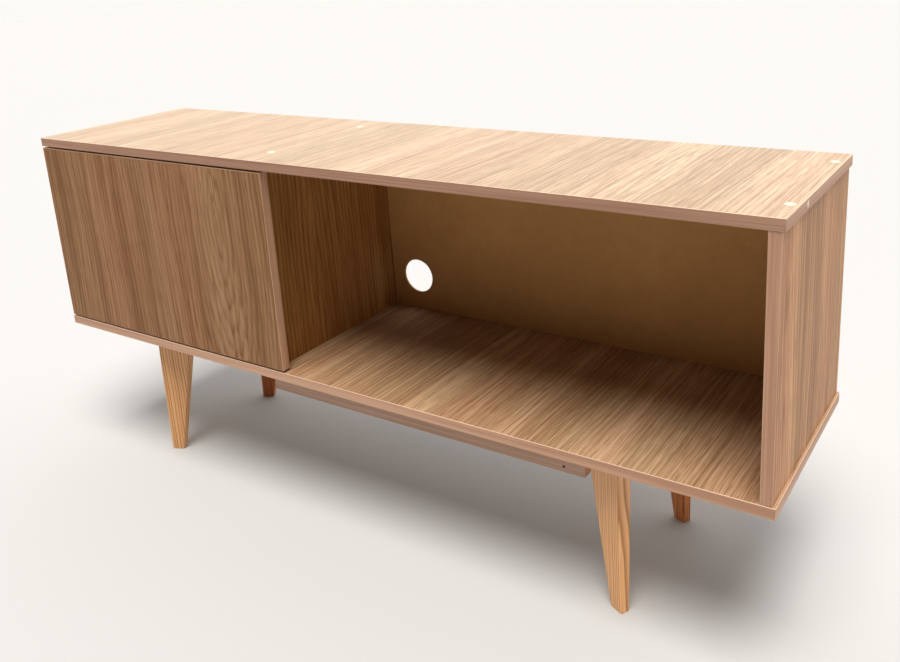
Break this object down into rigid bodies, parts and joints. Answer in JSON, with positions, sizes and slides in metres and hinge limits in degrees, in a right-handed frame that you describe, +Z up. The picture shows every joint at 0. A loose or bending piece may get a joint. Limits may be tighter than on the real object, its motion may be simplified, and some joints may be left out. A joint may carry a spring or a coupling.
{
  "type": "tv stand",
  "caption": "Low wood-grain TV unit with a hinged flush door over a cupboard, an open bay with a cable hole in the back, and tapered wood legs.",
  "frame": {"origin": "centre of the footprint, on the floor", "axes": "+Z up, +X along the length to the viewer's right, front and door face -Y"},
  "size_m": [1.4, 0.34, 0.62],
  "materials": {
    "oak_board": "light oak print melamine on chipboard, satin",
    "edge_band": "printed oak edge strip, satin",
    "rail_face": "oak print melamine strip, satin",
    "hardboard": "bare brown hardboard, matte",
    "leg_wood": "clear lacquered solid pine or ash, satin",
    "beech": "bare beech",
    "cap_plastic": "pale oak coloured cover cap, matte",
    "bumper_plastic": "clear soft plastic",
    "zinc_steel": "bright zinc plated steel",
    "nut_steel": "yellow zinc plated steel",
    "hinge_steel": "nickel plated pressed steel"
  },
  "bodies": {
    "carcass": {"top_board": "oak_board", "top_front_band": "edge_band", "top_left_band": "edge_band", "top_right_band": "edge_band", "bottom_board": "oak_board", "bottom_front_band": "edge_band", "bottom_left_band": "edge_band", "bottom_right_band": "edge_band", "left_side": "oak_board", "left_side_band": "edge_band", "right_side": "oak_board", "right_side_band": "edge_band", "partition": "oak_board", "partition_band": "edge_band", "back_panel": "hardboard", "support_rail": "rail_face", "upper_hinge_plate": "hinge_steel", "lower_hinge_plate": "hinge_steel", "upper_hinge_arm": "hinge_steel", "lower_hinge_arm": "hinge_steel", "hinge_plate_screws": "zinc_steel", "hinge_arm_screws": "zinc_steel", "hinge_pins": "hinge_steel", "front_left_leg": "leg_wood", "front_right_leg": "leg_wood", "back_left_leg": "leg_wood", "back_right_leg": "leg_wood", "leg_bolts": "zinc_steel", "leg_insert_nuts": "nut_steel", "carcass_screws": "zinc_steel", "screw_caps": "cap_plastic", "dowels": "beech", "rail_screws": "zinc_steel", "back_nails": "zinc_steel"},
    "door": {"door_board": "oak_board", "door_left_band": "edge_band", "door_right_band": "edge_band", "door_top_band": "edge_band", "door_bottom_band": "edge_band", "door_bumpers": "bumper_plastic", "upper_hinge_cup": "hinge_steel", "lower_hinge_cup": "hinge_steel", "hinge_cup_screws": "zinc_steel"},
    "hinge_links": {"upper_hinge_link": "hinge_steel", "lower_hinge_link": "hinge_steel"}
  },
  "joints": [
    {"name": "door_hinge", "type": "hinge", "parent": "carcass", "child": "door", "pos_m": [-0.693, -0.163, 0.43], "axis": [0, 0, -1], "range_deg": [0, 95]},
    {"name": "link_turn", "type": "hinge", "parent": "carcass", "child": "hinge_links", "pos_m": [-0.6755, -0.1485, 0.43], "axis": [0, 0, -1], "range_deg": [0, 40]}
  ],
  "couplings": [
    {"joint": "link_turn", "follows": "door_hinge", "ratio": 0.42}
  ]
}
